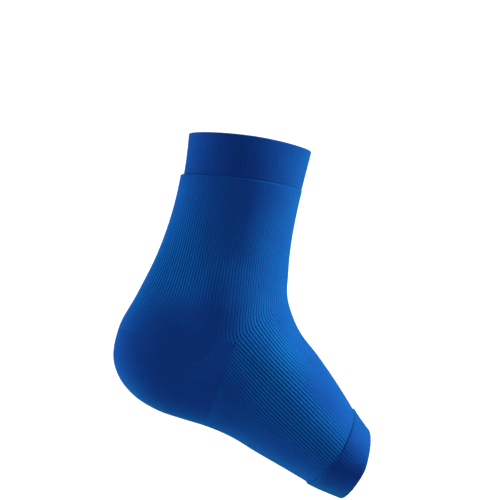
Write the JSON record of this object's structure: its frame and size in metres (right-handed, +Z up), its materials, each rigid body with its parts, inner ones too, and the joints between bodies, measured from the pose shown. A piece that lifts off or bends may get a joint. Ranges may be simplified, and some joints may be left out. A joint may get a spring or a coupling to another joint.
{
  "type": "ankle brace",
  "caption": "Knitted elastic support for a right ankle: a ribbed tube over lower leg and foot with a heel pocket and a cuff at each end, toes left free.",
  "frame": {"origin": "the centre of the ankle inside the hollow, midway between the two ankle bones, where the leg holds the support", "axes": "+X forward to the toes, +Z up, +Y to the inner side of the right foot, so -Y is its outer side. The leg leans forward by about 13 degrees and the foot slopes down by about 28 degrees, as the support is worn with the heel raised"},
  "size_m": [0.1632, 0.0891, 0.2303],
  "materials": {
    "ribbed_knit": "fine vertical ribs of elastic knit, royal blue, soft sheen at grazing angles",
    "heel_knit": "smooth plain knit, royal blue, matt",
    "cuff_knit": "smooth doubled plain knit, royal blue, soft sheen at grazing angles"
  },
  "bodies": {
    "root": {"leg_cuff": "cuff_knit", "ribbed_sleeve": "ribbed_knit", "heel_pocket": "heel_knit", "foot_cuff": "cuff_knit"}
  },
  "joints": []
}
